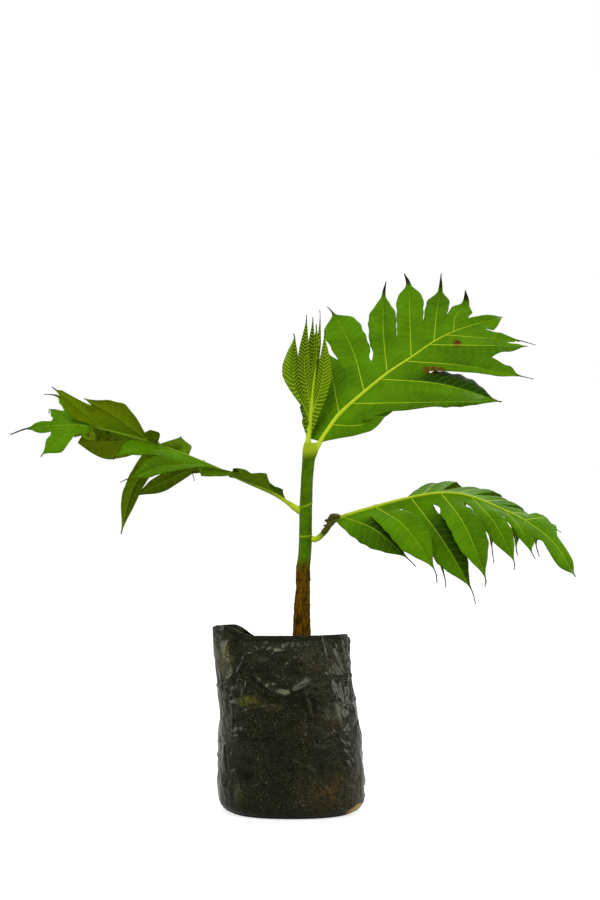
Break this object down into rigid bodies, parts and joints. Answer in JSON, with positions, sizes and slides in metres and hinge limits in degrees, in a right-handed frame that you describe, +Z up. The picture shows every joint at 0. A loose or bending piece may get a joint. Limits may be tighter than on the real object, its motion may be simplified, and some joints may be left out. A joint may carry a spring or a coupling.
{
  "type": "breadfruit sapling in a grow bag",
  "caption": "Young breadfruit plant with lobed drooping leaves and a tuft of folded new lobes on a single upright stem, in a black polythene grow bag of soil.",
  "frame": {"origin": "on the flat underside of the grow bag, below the middle of the bag", "axes": "+Z up along the stem, +X towards the two right-hand leaves, +Y away from the side that is seen from the front"},
  "size_m": [0.6209, 0.1981, 0.5991],
  "materials": {
    "polythene": "satin",
    "soil": "matte",
    "stem": "satin",
    "midrib": "satin",
    "leaf": "satin",
    "young_leaf": "satin"
  },
  "bodies": {
    "root": {"grow_bag": "polythene", "potting_soil": "soil", "stem": "stem", "upper_right_leaf_midrib": "midrib", "upper_right_leaf_left_half": "leaf", "upper_right_leaf_right_half": "leaf", "lower_right_leaf_midrib": "midrib", "lower_right_leaf_left_half": "leaf", "lower_right_leaf_right_half": "leaf", "left_leaf_midrib": "midrib", "left_leaf_left_half": "leaf", "left_leaf_right_half": "leaf", "young_leaf_midrib": "midrib", "young_leaf_left_half": "young_leaf", "young_leaf_right_half": "young_leaf"}
  },
  "joints": []
}
